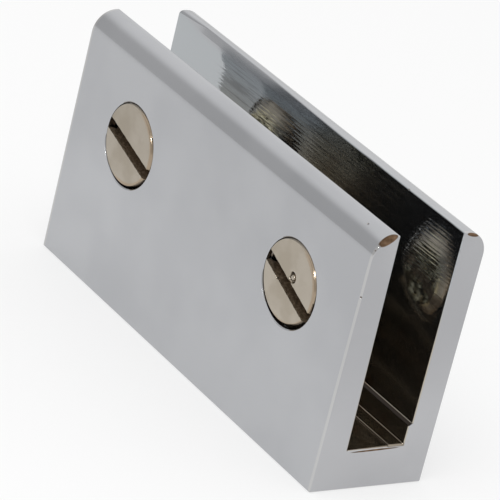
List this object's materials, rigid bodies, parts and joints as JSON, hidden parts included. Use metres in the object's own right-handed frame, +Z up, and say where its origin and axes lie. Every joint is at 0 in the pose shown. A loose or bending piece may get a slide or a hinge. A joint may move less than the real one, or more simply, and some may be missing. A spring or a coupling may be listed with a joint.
{
  "type": "glass u-bracket",
  "caption": "Polished U-shaped metal channel that slips over the edge of a glass panel and grips it with flush slotted screws in one leg.",
  "frame": {"origin": "middle of the base's flat underside", "axes": "+X along the slot, +Y from the front leg, which holds the screws, to the back leg, +Z up, out of the slot"},
  "size_m": [0.048, 0.0122, 0.025],
  "materials": {
    "polished_chrome": "polished chrome plate on solid brass, thinner and warmer inside the slot",
    "nickel_screw": "nickel plate on brass, lightly polished"
  },
  "bodies": {
    "channel": {"u_channel": "polished_chrome"},
    "left_screw": {"clamp_screw_left": "nickel_screw"},
    "right_screw": {"clamp_screw_right": "nickel_screw"}
  },
  "joints": [
    {"name": "left_screw_travel", "type": "slide", "parent": "channel", "child": "left_screw", "axis": [0, 1, 0], "range_m": [-0.0015, 0.0011]},
    {"name": "right_screw_travel", "type": "slide", "parent": "channel", "child": "right_screw", "axis": [0, 1, 0], "range_m": [-0.0015, 0.0011]}
  ]
}
